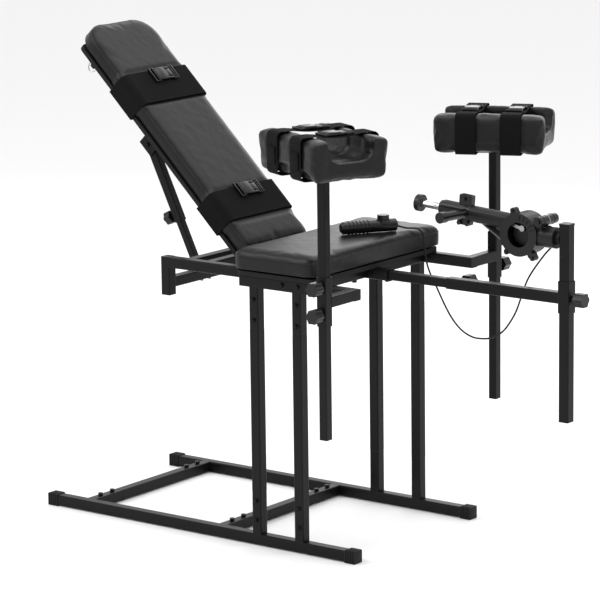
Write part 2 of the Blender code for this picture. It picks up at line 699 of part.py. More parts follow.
def drive_stand():
    """The beam out to the drive, its upright post, and the knobs that lock them."""
    centre = (0.0, 0.0, BEAM_Z)
    post = (POST_X, 0.0, 0.0)
    build(
        "beam_inner",
        POWDER,
        [bar(X, BEAM_INNER[0], BEAM_INNER[1], centre, SLIM_TUBE, 0.0025)],
        [bore(X, BEAM_INNER[0] - 0.01, BEAM_INNER[1] + 0.01, centre, SLIM_TUBE)],
    )
    sleeve_face = POST_X - POST_SLEEVE / 2
    build(
        "drive_beam",
        POWDER,
        [
            bar(X, OUTER_BEAM_START, sleeve_face + WELD_DEPTH, centre),
            bar(Z, POST_SLEEVE_Z[0], POST_SLEEVE_Z[1], post, POST_SLEEVE),
        ],
        [
            bore(X, OUTER_BEAM_START - 0.01, sleeve_face - 0.001, centre),
            bar(Z, POST_SLEEVE_Z[0] - 0.01, POST_SLEEVE_Z[1] + 0.01, post, TUBE + 0.0008, 0.0),
        ],
    )
    knob("beam_knob", (0.530, TUBE / 2, BEAM_Z), (0, 1, 0), neck=0.014, depth=0.030)
    knob("post_knob", (POST_X + POST_SLEEVE / 2, 0, 0.730), (1, 0, 0), ROOT, *POST_KNOB_REACH)
    axis_z = GEAR_CENTRE.z - 0.002
    post_face = POST_X - TUBE / 2
    build(
        "drive_post",
        POWDER,
        [
            bar(Z, POST_Z[0], POST_Z[1], post),
            bar(Z, POST_Z[1] - 0.001, POST_Z[1] + 0.004, post, 0.032),
            cylinder((HUB_X[1] + 0.0005, 0, axis_z), (post_face + 0.001, 0, axis_z), 0.0175, 24),
            cylinder((HUB_X[0] + 0.022, 0, axis_z), (post_face + 0.0008, 0, axis_z), 0.012, 20),
            cylinder((POST_X, TUBE / 2 - 0.001, 0.897), (POST_X, 0.0235, 0.897), 0.0055, 16, 0.0042),
        ],
        [bore(Z, POST_Z[0] - 0.01, POST_Z[1] - 0.002, post)],
    )


def housing_ears(gear, near, far):
    """The screw ears round the gear housing, each with the root that joins it to the rim."""
    ears = []
    for share, radius in ((1.0, 0.008), (0.88, 0.0095)):
        for dx, dz in COVER_EARS:
            x, z = gear.x + share * dx, gear.z + share * dz
            shrink = 1e-4 * (share < 1)
            ears.append(cylinder((x, near + shrink, z), (x, far - shrink, z), radius, 12))
    return ears


def drive_unit():
    """The crank housing, its guide barrel and clamp, and the rod that the crank pushes."""
    gear = GEAR_CENTRE
    thrust = empty("thrust_line", THRUST_LINE_START, ROOT, THRUST_SLOPE)
    to_thrust = Matrix.Rotation(-THRUST_SLOPE, 4, "Y") @ Matrix.Translation(-THRUST_LINE_START)
    gear_on_line = to_thrust @ gear
    pin_drop = -(gear_on_line.z + CRANK_THROW)
    crosshead = gear_on_line.x - math.sqrt(CONROD_LENGTH**2 - pin_drop**2)

    ears = housing_ears(gear, -0.026, -0.010)
    from_thrust = to_thrust.inverted()
    barrel_start = from_thrust @ Vector((-0.0875, 0, 0))
    barrel_end = from_thrust @ Vector((0.040, 0, 0))
    rod_bore = cylinder(from_thrust @ Vector((-0.12, 0, 0)), from_thrust @ Vector((0.045, 0, 0)), 0.0101, 24)
    slot = box((-0.006, -0.0165, -0.026), (0.052, -0.0065, 0.011))
    bmesh.ops.transform(slot, matrix=from_thrust, verts=slot.verts)
    brace = cylinder((0.606, 0, 0.907), (0.694, 0, 0.853), 0.0085, 4)
    build(
        "gear_housing",
        ALUMINIUM,
        [
            cylinder((gear.x, -0.026, gear.z), (gear.x, 0.030, gear.z), GEAR_RADIUS, 40),
            cylinder(barrel_start, barrel_end, BARREL_RADIUS, 24),
            brace,
            box((gear.x + 0.030, -0.022, gear.z - 0.024), (HUB_X[0] - 0.0005, 0.022, gear.z + 0.022)),
            *ears,
        ],
        [
            cylinder((gear.x, -0.04, gear.z), (gear.x, 0.030 - GEAR_WALL, gear.z), GEAR_RADIUS - GEAR_WALL, 36),
            rod_bore,
            slot,
        ],
        origin=gear,
    )
    cover_y = (-0.030, -0.0263)
    solids = [cylinder((gear.x, cover_y[0], gear.z), (gear.x, cover_y[1], gear.z), GEAR_RADIUS, 40)]
    solids += housing_ears(gear, cover_y[0] + 1e-4, cover_y[1] - 1e-4)
    for dx, dz in COVER_EARS:
        solids.append(
            cylinder((gear.x + dx, -0.0335, gear.z + dz), (gear.x + dx, -0.0290, gear.z + dz), 0.0042, 6)
        )
    build(
        "housing_cover",
        PLASTIC,
        solids,
        [cylinder((gear.x, -0.05, gear.z), (gear.x, 0.0, gear.z), COVER_OPENING, 32)],
        origin=gear,
    )
    pin = gear + (from_thrust.to_3x3() @ Vector((0, 0, CRANK_THROW)))
    build(
        "crank_disc",
        STEEL,
        [
            cylinder((gear.x, -0.0055, gear.z), (gear.x, 0.0010, gear.z), 0.030, 36),
            cylinder((gear.x, 0.0005, gear.z), (gear.x, 0.0262, gear.z), 0.006, 16),
            cylinder((pin.x, -0.0083, pin.z), (pin.x, -0.0050, pin.z), 0.004, 12),
        ],
        origin=gear,
    )

    build(
        "thrust_rod",
        CHROME,
        [
            cylinder((-0.2505, 0, 0), (crosshead - 0.011, 0, 0), ROD_RADIUS, 24),
            box((crosshead - 0.012, -0.0082, -0.0045), (crosshead + 0.010, 0.0075, 0.0045)),
            cylinder((crosshead, -0.0155, 0), (crosshead, -0.0070, 0), 0.003, 12),
        ],
        (),
        thrust,
    )
    build(
        "connector_disc",
        PLASTIC,
        [
            cylinder((-0.2645, 0, 0), (-0.2510, 0, 0), 0.023, 32),
        ],
        [cylinder((-0.2700, 0, 0), (-0.2600, 0, 0), 0.006, 16)],
        thrust,
    )
    joint_end = Vector((crosshead, 0, 0))
    crank_end = Vector((gear_on_line.x, 0, -pin_drop))
    span = crank_end - joint_end
    lean = math.atan2(-span.z, span.x)
    conrod = empty("crosshead", joint_end, thrust, lean)
    build(
        "connecting_rod",
        STEEL,
        [
            box((0.002, -0.0138, -0.004), (CONROD_LENGTH - 0.002, -0.0092, 0.004)),
            cylinder((0, -0.0140, 0), (0, -0.0090, 0), 0.0070, 20),
            cylinder((CONROD_LENGTH, -0.0140, 0), (CONROD_LENGTH, -0.0090, 0), 0.0080, 20),
        ],
        [cylinder((0, -0.1, 0), (0, 0.1, 0), 0.0034, 16)],
        conrod,
    )
    handle_start, handle_end = (-0.101, -0.012, 0.001), (-0.110, -0.116, 0.002)
    body = [
        cylinder((-0.186, 0, 0), (-0.176, 0, 0), 0.0200, 24),
        cylinder((-0.177, 0, 0), (-0.088, 0, 0), 0.0225, 24),
        box((-0.128, -0.008, 0.012), (-0.088, 0.008, 0.048), 0.003, Y, 2),
        box((-0.132, -0.006, -0.034), (-0.092, 0.006, -0.012), 0.003, Y, 2),
        cylinder((-0.112, -0.013, 0.036), (-0.112, 0.013, 0.036), 0.005, 12),
        cylinder((-0.124, -0.012, -0.029), (-0.124, 0.012, -0.029), 0.006, 16),
        cylinder((-0.098, -0.012, -0.029), (-0.098, 0.012, -0.029), 0.006, 16),
        cylinder(handle_start, handle_end, 0.0125, 16),
        cylinder((-0.1085, -0.100, 0.0018), (-0.1105, -0.122, 0.0021), 0.0150, 16),
    ]
    build("nose_clamp", PLASTIC, body, [cylinder((-0.2, 0, 0), (-0.08, 0, 0), 0.0101, 24)], thrust)

    axis_z = gear.z - 0.002
    build(
        "hub",
        ALUMINIUM,
        [
            cylinder((HUB_X[0], 0, axis_z), (HUB_X[1], 0, axis_z), HUB_RADIUS, 40),
            box((HUB_X[0] + 0.0005, -0.012, axis_z + 0.010), (0.812, 0.012, 0.9155)),
        ],
        [cylinder((HUB_X[0] + 0.0205, 0, axis_z), (HUB_X[1] + 0.01, 0, axis_z), 0.0125, 20)],
        origin=(HUB_X[0], 0, axis_z),
    )
    build(
        "motor_can",
        PLASTIC,
        [
            cylinder((0.800, -0.035, 0.930), (0.800, 0.045, 0.930), 0.0138, 28),
            cylinder((0.800, -0.039, 0.930), (0.800, -0.034, 0.930), 0.0060, 16),
        ],
    )


def handset():
    """The hand controller that lies on the seat, with its speed knob."""
    ahead = HANDSET_DIRECTION
    start, end = HANDSET_CENTRE - ahead * HANDSET_LENGTH / 2, HANDSET_CENTRE + ahead * HANDSET_LENGTH / 2
    raise_by = Vector((0, 0, 0.0170))
    dial = HANDSET_CENTRE + ahead * 0.042 + raise_by
    build(
        "handset_body",
        PLASTIC,
        [
            cylinder(start + ahead * 0.006, end - ahead * 0.004, 0.0172, 20),
            cylinder(start, start + ahead * 0.007, 0.0120, 20, 0.0171),
            cylinder(end - ahead * 0.006, end - ahead * 0.0010, 0.0171, 20, 0.0130),
            cylinder(dial - raise_by * 0.6, dial + Vector((0, 0, 0.0005)), 0.0190, 24),
        ],
    )
    foot = dial + Vector((0, 0, 0.0010))
    build(
        "handset_knob",
        PLASTIC,
        [
            star_grip(foot, foot + Vector((0, 0, 0.0120)), 0.0170, 12, 0.02, 36),
        ],
        origin=foot,
    )


def smooth_points(route, spacing):
    """Points at about this spacing along one smooth curve through the route's points."""
    route = [Vector(point) for point in route]
    padded = [2 * route[0] - route[1], *route, 2 * route[-1] - route[-2]]
    points = []
    for a, b, c, d in zip(padded, padded[1:], padded[2:], padded[3:]):
        steps = max(1, round((c - b).length / spacing))
        for step in range(steps):
            t = step / steps
            points.append(
                0.5 * ((2 * b) + (c - a) * t + (2 * a - 5 * b + 4 * c - d) * t**2 + (3 * b - a - 3 * c + d) * t**3)
            )
    return [*points, route[-1]]


def cord(name, route):
    """One plain stretch of the hand controller's cord."""
    points = smooth_points(route, 6 * CORD_RADIUS)
    curve = bpy.data.curves.new(name, "CURVE")
    curve.dimensions = "3D"
    curve.bevel_depth = CORD_RADIUS
    curve.bevel_resolution = 2
    curve.use_fill_caps = True
    spline = curve.splines.new("POLY")
    spline.points.add(len(points) - 1)
    for point, co in zip(spline.points, points):
        point.co = (*co, 1.0)
    curve.materials.append(RUBBER)
    made = bpy.data.objects.new(name, curve)
    PARTS.objects.link(made)
    made.parent = ROOT


base()
uprights()
seat_frame()
rear_frame()
seat()
backrest()
strut()
leg_rests()
drive_stand()
drive_unit()
handset()
cord("cord_seat_run", SEAT_RUN)
cord("cord_drive_run", DRIVE_RUN)
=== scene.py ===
"""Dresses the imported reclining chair.

It makes the soft cushions, straps, buckles, ribbed feet and cord, the finishes and a studio.
"""

from __future__ import annotations

import json
import logging
import math
from dataclasses import dataclass
from enum import Enum
from typing import Any, Sequence

import bmesh
import bpy
from mathutils import Matrix, Vector, noise
from mathutils.bvhtree import BVHTree

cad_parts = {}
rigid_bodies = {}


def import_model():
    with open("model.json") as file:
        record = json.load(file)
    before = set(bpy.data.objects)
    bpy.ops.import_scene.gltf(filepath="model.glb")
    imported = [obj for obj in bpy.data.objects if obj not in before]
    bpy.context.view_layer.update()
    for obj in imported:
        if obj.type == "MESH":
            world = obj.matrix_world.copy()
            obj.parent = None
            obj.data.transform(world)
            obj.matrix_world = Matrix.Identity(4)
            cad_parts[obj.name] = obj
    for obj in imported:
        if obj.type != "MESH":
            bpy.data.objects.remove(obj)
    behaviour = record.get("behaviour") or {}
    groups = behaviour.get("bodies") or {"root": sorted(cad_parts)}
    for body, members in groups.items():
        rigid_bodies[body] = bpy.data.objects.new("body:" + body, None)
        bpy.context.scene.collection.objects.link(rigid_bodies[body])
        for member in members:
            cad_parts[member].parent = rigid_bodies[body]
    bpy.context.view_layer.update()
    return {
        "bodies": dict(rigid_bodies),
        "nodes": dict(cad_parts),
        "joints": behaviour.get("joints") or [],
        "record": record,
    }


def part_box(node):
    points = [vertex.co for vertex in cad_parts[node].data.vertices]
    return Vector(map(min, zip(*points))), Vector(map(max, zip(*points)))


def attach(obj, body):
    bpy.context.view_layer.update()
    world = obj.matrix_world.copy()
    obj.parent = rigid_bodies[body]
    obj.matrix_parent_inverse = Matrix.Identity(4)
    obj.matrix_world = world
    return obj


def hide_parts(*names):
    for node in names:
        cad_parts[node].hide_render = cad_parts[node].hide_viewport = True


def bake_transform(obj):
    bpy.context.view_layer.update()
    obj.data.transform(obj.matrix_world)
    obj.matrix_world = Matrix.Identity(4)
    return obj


Piece = bpy.types.Object
Shape = bmesh.types.BMesh

LOG = logging.getLogger("reclining_chair")
SIDES = (("r", -1), ("l", 1))
BACK_ANGLE = math.radians(44.6)
PAD_TURN = math.radians(24)
PAD_SIZE = (0.310, 0.225, 0.110)
PAD_TROUGH_HALF = 0.0625
TUBE = 0.030
HARD_EDGE = 35.0
WELT_RADIUS = 0.0013
MERGE = 1e-6


class Texture(Enum):
    """How a finish breaks up the light."""

    SPECKLE = "speckle"
    GRAIN = "grain"
    WEAVE = "weave"
    MOULD = "mould"
    BRUSHED = "brushed"
    POLISHED = "polished"
    PLAIN = "plain"


@dataclass(frozen=True)
class Finish:
    """One finish: its colour, gloss and surface texture."""

    name: str
    colour: tuple[float, float, float]
    roughness: float
    texture: Texture
    metallic: float = 0.0
    scale: float = 400.0
    depth: float = 0.0002
    strength: float = 0.3
    specular: float = 0.5


POWDER = Finish(
    "powder_coat", (0.0050, 0.0050, 0.0056), 0.34, Texture.SPECKLE, scale=900, depth=0.00012,
    specular=0.15
)
LEATHER = Finish(
    "leatherette", (0.0052, 0.0054, 0.0060), 0.36, Texture.GRAIN, scale=520, depth=0.0005,
    specular=0.24
)
WEBBING = Finish(
    "webbing", (0.0042, 0.0042, 0.0046), 0.88, Texture.WEAVE, scale=170, depth=0.0006,
    strength=0.6, specular=0.12
)
PLASTIC = Finish(
    "black_plastic", (0.0050, 0.0050, 0.0055), 0.24, Texture.MOULD, scale=700, depth=0.0001,
    specular=0.32
)
RUBBER = Finish(
    "black_rubber", (0.0070, 0.0070, 0.0072), 0.62, Texture.MOULD, scale=500, specular=0.22
)
BOARD = Finish(
    "black_board", (0.0100, 0.0095, 0.0090), 0.72, Texture.SPECKLE, scale=300, specular=0.20
)
STEEL = Finish(
    "bright_steel", (0.45, 0.45, 0.46), 0.32, Texture.BRUSHED, metallic=1.0, scale=300
)
CHROME = Finish(
    "chrome", (0.78, 0.78, 0.80), 0.10, Texture.POLISHED, metallic=1.0
)
ALUMINIUM = Finish(
    "black_aluminium", (0.0110, 0.0110, 0.0120), 0.36, Texture.SPECKLE, metallic=0.10,
    scale=600, specular=0.26
)
THREAD = Finish(
    "seam_thread", (0.0060, 0.0060, 0.0066), 0.50, Texture.WEAVE, scale=500, specular=0.30
)
FLOOR = Finish(
    "studio_floor", (0.90, 0.90, 0.90), 0.70, Texture.PLAIN, specular=0.10
)
FINISHES = {
    finish.name: finish
    for finish in (POWDER, LEATHER, WEBBING, PLASTIC, RUBBER, BOARD, STEEL, CHROME, ALUMINIUM)
}


class Level:
    """A shader number that Python's operators can combine."""

    def __init__(self, graph: Graph, socket: Any) -> None:
        """Wraps a socket of a graph."""
        self.graph = graph
        self.socket = socket

    def _join(self, operation: str, first: Any, second: Any) -> Level:
        """Adds one Math node.

        Args:
            operation: The node's operation.
            first: A level or a number.
            second: A level or a number.

        Returns:
            The node's result.
        """
        return self.graph.level("ShaderNodeMath", {"operation": operation}, {0: first, 1: second})

    def __add__(self, other: Any) -> Level:
        """Adds."""
        return self._join("ADD", self, other)

    __radd__ = __add__

    def __mul__(self, other: Any) -> Level:
        """Multiplies."""
        return self._join("MULTIPLY", self, other)

    __rmul__ = __mul__


class Graph:
    """The nodes of one material."""

    def __init__(self, name: str) -> None:
        """Makes an empty material of this name with its shader."""
        self.material = bpy.data.materials.new(name)
        self.material.use_nodes = True
        self.tree = self.material.node_tree
        self.shader = self.tree.nodes["Principled BSDF"]

    def node(self, kind: str, settings: dict[str, Any], inputs: dict[Any, Any]) -> Any:
        """Adds a node.

        Args:
            kind: The node's type.
            settings: Its own settings, which are set first.
            inputs: The values or links of its sockets.

        Returns:
            The node.
        """
        made = self.tree.nodes.new(kind)
        for key, value in settings.items():
            setattr(made, key, value)
        for key, value in inputs.items():
            self.feed(made.inputs[key], value)
        return made

    def feed(self, socket: Any, value: Any) -> None:
        """Sets a socket or links it."""
        if isinstance(value, Level):
            self.tree.links.new(value.socket, socket)
        elif isinstance(value, bpy.types.NodeSocket):
            self.tree.links.new(value, socket)
        else:
            socket.default_value = value

    def level(
        self, kind: str, settings: dict[str, Any], inputs: dict[Any, Any], output: Any = 0
    ) -> Level:
        """Adds a node and wraps one of its outputs as a number."""
        return Level(self, self.node(kind, settings, inputs).outputs[output])


class Dresser:
    """Makes each finish once as a node material."""

    cloud_scale = 9.0
    dulling = 0.78
    gloss_spread = 0.10
    crease_scale = 38.0

    def __init__(self) -> None:
        """Starts with no materials."""
        self.made: dict[str, bpy.types.Material] = {}

    def material(self, finish: Finish) -> bpy.types.Material:
        """Returns the material of a finish, making it the first time."""
        if finish.name not in self.made:
            self.made[finish.name] = self._build(finish)
        return self.made[finish.name]

    def dress(self, piece: Piece, finish: Finish) -> Piece:
        """Gives a piece one finish over all of it."""
        piece.data.materials.clear()
        piece.data.materials.append(self.material(finish))
        return piece

    def _build(self, finish: Finish) -> bpy.types.Material:
        """Builds the nodes of a finish."""
        graph = Graph("finish_" + finish.name)
        shader = graph.shader
        shader.inputs["Metallic"].default_value = finish.metallic
        shader.inputs["Specular IOR Level"].default_value = finish.specular
        if finish.texture is Texture.PLAIN:
            shader.inputs["Base Color"].default_value = (*finish.colour, 1.0)
            shader.inputs["Roughness"].default_value = finish.roughness
            return graph.material
        place = graph.node("ShaderNodeTexCoord", {}, {}).outputs["Object"]
        spots = {"Vector": place, "Scale": self.cloud_scale, "Detail": 4.0}
        cloud = graph.level("ShaderNodeTexNoise", {}, spots)
        dull = tuple(channel * self.dulling for channel in finish.colour)
        tint = graph.node(
            "ShaderNodeMix",
            {"data_type": "RGBA"},
            {0: cloud, 6: (*finish.colour, 1.0), 7: (*dull, 1.0)},
        )
        graph.feed(shader.inputs["Base Color"], tint.outputs[2])
        lowest = finish.roughness - self.gloss_spread / 2
        graph.feed(shader.inputs["Roughness"], cloud * self.gloss_spread + lowest)
        if finish.texture is not Texture.POLISHED:
            height = self._height(graph, finish, place)
            relief = {"Height": height, "Strength": finish.strength, "Distance": finish.depth}
            bump = graph.node("ShaderNodeBump", {}, relief)
            graph.feed(shader.inputs["Normal"], bump.outputs["Normal"])
        return graph.material

    @staticmethod
    def _height(graph: Graph, finish: Finish, place: Any) -> Level:
        """Builds the height field of a finish's texture."""
        spread = {"Vector": place, "Scale": finish.scale}
        if finish.texture is Texture.WEAVE:
            warp = {"wave_type": "BANDS", "bands_direction": "X"}
            weft = {"wave_type": "BANDS", "bands_direction": "Z"}
            across = graph.level("ShaderNodeTexWave", warp, spread, "Fac")
            along = graph.level("ShaderNodeTexWave", weft, spread, "Fac")
            return across * along
        fine = graph.level("ShaderNodeTexNoise", {}, {**spread, "Detail": 2.0})
        if finish.texture is Texture.GRAIN:
            cells = graph.level("ShaderNodeTexVoronoi", {}, spread, "Distance")
            broad = {"Vector": place, "Scale": Dresser.crease_scale, "Detail": 3.0}
            creases = graph.level("ShaderNodeTexNoise", {}, broad)
            return cells * 0.5 + fine * 0.3 + creases * 0.5
        if finish.texture is Texture.BRUSHED:
            drawn = {"Vector": place, "Scale": (0.05, 1.0, 1.0)}
            stretched = graph.node("ShaderNodeMapping", {}, drawn).outputs[0]
            return graph.level(
                "ShaderNodeTexNoise", {}, {"Vector": stretched, "Scale": finish.scale}
            )
        return fine


def new_piece(name: str, shape: Shape, smooth_angle: float = 40.0) -> Piece:
    """Makes an object of a bmesh whose points are in the row frame.

    Args:
        name: The piece's name.
        shape: The bmesh, which is freed.
        smooth_angle: Edges sharper than this, in degrees, stay crisp.

    Returns:
        The new object at the origin.
    """
    mesh = bpy.data.meshes.new(name)
    shape.to_mesh(mesh)
    shape.free()
    mesh.shade_smooth()
    mesh.set_sharp_from_angle(angle=math.radians(smooth_angle))
    made = bpy.data.objects.new(name, mesh)
    bpy.context.scene.collection.objects.link(made)
    return made


def evaluated_mesh(piece: Piece) -> bpy.types.Mesh:
    """Returns a new mesh of a piece with its modifiers or its bevel applied."""
    return bpy.data.meshes.new_from_object(
        piece.evaluated_get(bpy.context.evaluated_depsgraph_get())
    )


def arc(radius: float, start: float, steps: int, sweep: float = 90.0) -> list[tuple[float, float]]:
    """Returns points of an arc round nought.

    Args:
        radius: The arc's radius.
        start: Its first angle in degrees.
        steps: How many equal steps it has, with a point at both ends.
        sweep: How far it turns in degrees.

    Returns:
        The points in the arc's own plane.
    """
    angles = [math.radians(start + step * (sweep / steps)) for step in range(steps + 1)]
    return [(radius * math.cos(angle), radius * math.sin(angle)) for angle in angles]


def fit_out(piece: Piece, dresser: Dresser, finish: Finish, body: str) -> None:
    """Dresses a piece, makes it ride on its body and reports it."""
    dresser.dress(piece, finish)
    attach(piece, body)
    LOG.info("%s made", piece.name)


def add_block(
    shape: Shape,
    size: Sequence[float],
    centre: Sequence[float],
    radius: float,
    segments: int = 2,
) -> None:
    """Adds a rounded block to a bmesh."""
    made = bmesh.ops.create_cube(shape, size=1.0)["verts"]
    bmesh.ops.scale(shape, vec=Vector(size), verts=made)
    bmesh.ops.translate(shape, vec=Vector(centre), verts=made)
    edges = list({edge for vertex in made for edge in vertex.link_edges})
    bmesh.ops.bevel(
        shape,
        geom=edges,
        offset=radius,
        segments=segments,
        profile=0.5,
        affect="EDGES",
        material=-1,
    )


def line_piece(
    name: str, points: Sequence[Vector], radius: float, closed: bool = False, sides: int = 3
) -> Piece:
    """Makes a round line through points as a mesh piece.

    Args:
        name: The piece's name.
        points: The line's points in the row frame.
        radius: Half the line's thickness.
        closed: Whether it runs in a ring.
        sides: The bevel's resolution.

    Returns:
        The mesh piece at the origin.
    """
    curve = bpy.data.curves.new(name + "_line", "CURVE")
    curve.dimensions = "3D"
    curve.bevel_depth = radius
    curve.bevel_resolution = sides
    curve.use_fill_caps = not closed
    spline = curve.splines.new("POLY")
    spline.points.add(len(points) - 1)
    for point, place in zip(spline.points, points):
        point.co = (*place, 1.0)
    spline.use_cyclic_u = closed
    guide = bpy.data.objects.new(name + "_line", curve)
    bpy.context.scene.collection.objects.link(guide)
    bpy.context.view_layer.update()
    mesh = evaluated_mesh(guide)
    bpy.data.objects.remove(guide)
    shape = bmesh.new()
    shape.from_mesh(mesh)
    bpy.data.meshes.remove(mesh)
    bmesh.ops.remove_doubles(shape, verts=shape.verts, dist=MERGE)
    bmesh.ops.recalc_face_normals(shape, faces=shape.faces)
    return new_piece(name, shape, 60.0)


def hugging(points: Sequence[Vector], cushion: Piece, step: float = 0.008) -> list[Vector]:
    """Lays a ring of points down onto a cushion.

    Args:
        points: The ring's corners in the row frame.
        cushion: The piece that it lies on.
        step: The widest gap between two points of the result.

    Returns:
        The ring on the cushion's surface.
    """
    shape = bmesh.new()
    shape.from_mesh(cushion.data)
    tree = BVHTree.FromBMesh(shape)
    laid = []
    for start, end in zip(points, [*points[1:], points[0]]):
        count = max(1, round((end - start).length / step))
        for number in range(count):
            laid.append(tree.find_nearest(start.lerp(end, number / count))[0])
    shape.free()
    return laid


@dataclass
class Studio:
    """The pale floor, soft lights and the camera."""

    azimuth: float = 37.337
    elevation: float = 11.628
    roll: float = -0.709
    distance: float = 9.2744
    aim: tuple[float, float, float] = (-0.1185, 0.0, 0.6262)
    focal_length: float = 201.5
    sensor_width: float = 36.0
    floor_reach: float = 30.0
    lit_height: float = 0.7
    lamps: tuple[tuple[str, tuple[float, float, float], float, float], ...] = (
        ("key_light", (-2.6, -3.2, 4.2), 3.0, 95.0),
        ("fill_light", (4.0, -2.6, 2.4), 3.0, 26.0),
        ("top_light", (0.4, 0.8, 4.6), 3.4, 70.0),
        ("rear_light", (-1.5, 4.2, 2.6), 3.0, 36.0),
    )

    def build(self, dresser: Dresser) -> None:
        """Makes the stage, lights, world and camera."""
        shape = bmesh.new()
        bmesh.ops.create_grid(shape, x_segments=1, y_segments=1, size=self.floor_reach)
        floor = new_piece("studio_floor", shape)
        dresser.dress(floor, FLOOR)
        for lamp in self.lamps:
            self._light(*lamp)
        world = bpy.data.worlds.new("studio_world")
        bpy.context.scene.world = world
        world.use_nodes = True
        background = world.node_tree.nodes["Background"]
        background.inputs["Color"].default_value = (1.0, 1.0, 1.0, 1.0)
        background.inputs["Strength"].default_value = 1.0
        bpy.context.scene.view_settings.view_transform = "Standard"
        self._camera()

    def _light(self, name: str, place: Sequence[float], size: float, power: float) -> None:
        """Adds one square soft light that looks at the seat."""
        data = bpy.data.lights.new(name, "AREA")
        data.size = size
        data.energy = power
        lamp = bpy.data.objects.new(name, data)
        bpy.context.scene.collection.objects.link(lamp)
        lamp.location = place
        away = Vector(place) - Vector((0.0, 0.0, self.lit_height))
        lamp.rotation_euler = away.to_track_quat("Z", "Y").to_euler()

    def _camera(self) -> None:
        """Adds the camera on its sphere round the aim."""
        angles = (self.azimuth, self.elevation, self.roll)
        azimuth, elevation, roll = (math.radians(angle) for angle in angles)
        back = Vector(
            (
                math.sin(azimuth) * math.cos(elevation),
                -math.cos(azimuth) * math.cos(elevation),
                math.sin(elevation),
            )
        )
        right = (-back).cross(Vector((0.0, 0.0, 1.0))).normalized()
        up = right.cross(-back)
        turned_right = right * math.cos(roll) + up * math.sin(roll)
        turned_up = up * math.cos(roll) - right * math.sin(roll)
        data = bpy.data.cameras.new("studio_camera")
        data.lens = self.focal_length
        data.sensor_width = self.sensor_width
        camera = bpy.data.objects.new("studio_camera", data)
        bpy.context.scene.collection.objects.link(camera)
        matrix = Matrix((turned_right, turned_up, back)).transposed().to_4x4()
        matrix.translation = Vector(self.aim) + back * self.distance
        camera.matrix_world = matrix
        bpy.context.scene.camera = camera


@dataclass
class HandsetCord:
    """The controller's cord: a run off the seat and one up to the drive, which meet lowest down."""

    origin_x: float = 0.1134
    diameter: float = 0.005
    steps: int = 6
    seat_run: tuple[tuple[float, float, float], ...] = (
        (0.2235, 0.1452, 0.8360),
        (0.2310, 0.1570, 0.8310),
        (0.2400, 0.1700, 0.8270),
        (0.2510, 0.1810, 0.8262),
        (0.2620, 0.1890, 0.8240),
        (0.2710, 0.1940, 0.8150),
        (0.2750, 0.1970, 0.7980),
        (0.2765, 0.1985, 0.7750),
        (0.2800, 0.1980, 0.7480),
        (0.2900, 0.1945, 0.7200),
        (0.3080, 0.1890, 0.6920),
        (0.3310, 0.1820, 0.6640),
        (0.3570, 0.1740, 0.6300),
        (0.3920, 0.1620, 0.5940),
        (0.4320, 0.1480, 0.5690),
        (0.4780, 0.1310, 0.5580),
    )
    drive_run: tuple[tuple[float, float, float], ...] = (
        (0.4780, 0.1310, 0.5580),
        (0.5200, 0.1170, 0.5600),
        (0.5620, 0.1060, 0.5700),
        (0.6080, 0.0940, 0.5970),
        (0.6500, 0.0830, 0.6480),
        (0.6740, 0.0760, 0.6950),
        (0.6940, 0.0690, 0.7370),
        (0.7140, 0.0620, 0.7670),
        (0.7430, 0.0550, 0.8020),
        (0.7740, 0.0490, 0.8360),
        (0.8060, 0.0450, 0.8640),
        (0.8380, 0.0415, 0.8850),
        (0.8580, 0.0385, 0.8945),
        (0.8665, 0.0330, 0.8970),
        (0.8670, 0.0243, 0.8970),
    )

    def build(self, dresser: Dresser) -> None:
        """Makes both runs and hides the CAD nodes that they stand for."""
        seat_run, drive_run = self.seat_run, self.drive_run
        seat = self._run("cord_on_seat", seat_run, seat_run[0], drive_run[1], dresser)
        drive = self._run("cord_to_drive", drive_run, seat_run[-2], drive_run[-1], dresser)
        self._declare(seat, "cord_seat_run")
        self._declare(drive, "cord_drive_run")

    def _shifted(self, point: Sequence[float]) -> Vector:
        """Moves a point from the chair's own frame to the row frame."""
        return Vector(point) - Vector((self.origin_x, 0.0, 0.0))

    def _run(
        self,
        name: str,
        route: Sequence[Sequence[float]],
        before: Sequence[float],
        after: Sequence[float],
        dresser: Dresser,
    ) -> tuple[Piece, list[Vector]]:
        """Builds one run as a tube.

        Args:
            name: The piece's name.
            route: The run's points in the chair's own frame.
            before: The point that the curve comes from.
            after: The point that it goes on to.
            dresser: Gives the finish.

        Returns:
            The piece and its centreline.
        """
        points = [self._shifted(point) for point in route]
        first = self._shifted(before) if before != route[0] else 2 * points[0] - points[1]
        last = self._shifted(after) if after != route[-1] else 2 * points[-1] - points[-2]
        padded = [first, *points, last]
        line: list[Vector] = []
        for a, b, c, d in zip(padded, padded[1:], padded[2:], padded[3:]):
            for step in range(self.steps):
                t = step / self.steps
                cubic = (2 * b) + (c - a) * t + (2 * a - 5 * b + 4 * c - d) * t**2
                line.append(0.5 * (cubic + (3 * b - a - 3 * c + d) * t**3))
        line.append(points[-1])
        piece = line_piece(name, line, self.diameter / 2, sides=4)
        dresser.dress(piece, RUBBER)
        return piece, line

    def _declare(
        self,
        run: tuple[Piece, list[Vector]],
        node: str,
    ) -> None:
        """Lets a run stand for its CAD node: hides the node and bakes the run's place.

        Args:
            run: The piece and its centreline.
            node: The CAD node that it stands for.
        """
        piece, line = run
        length = sum((b - a).length for a, b in zip(line, line[1:]))
        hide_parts(node)
        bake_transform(piece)
        LOG.info("%s made", piece.name)


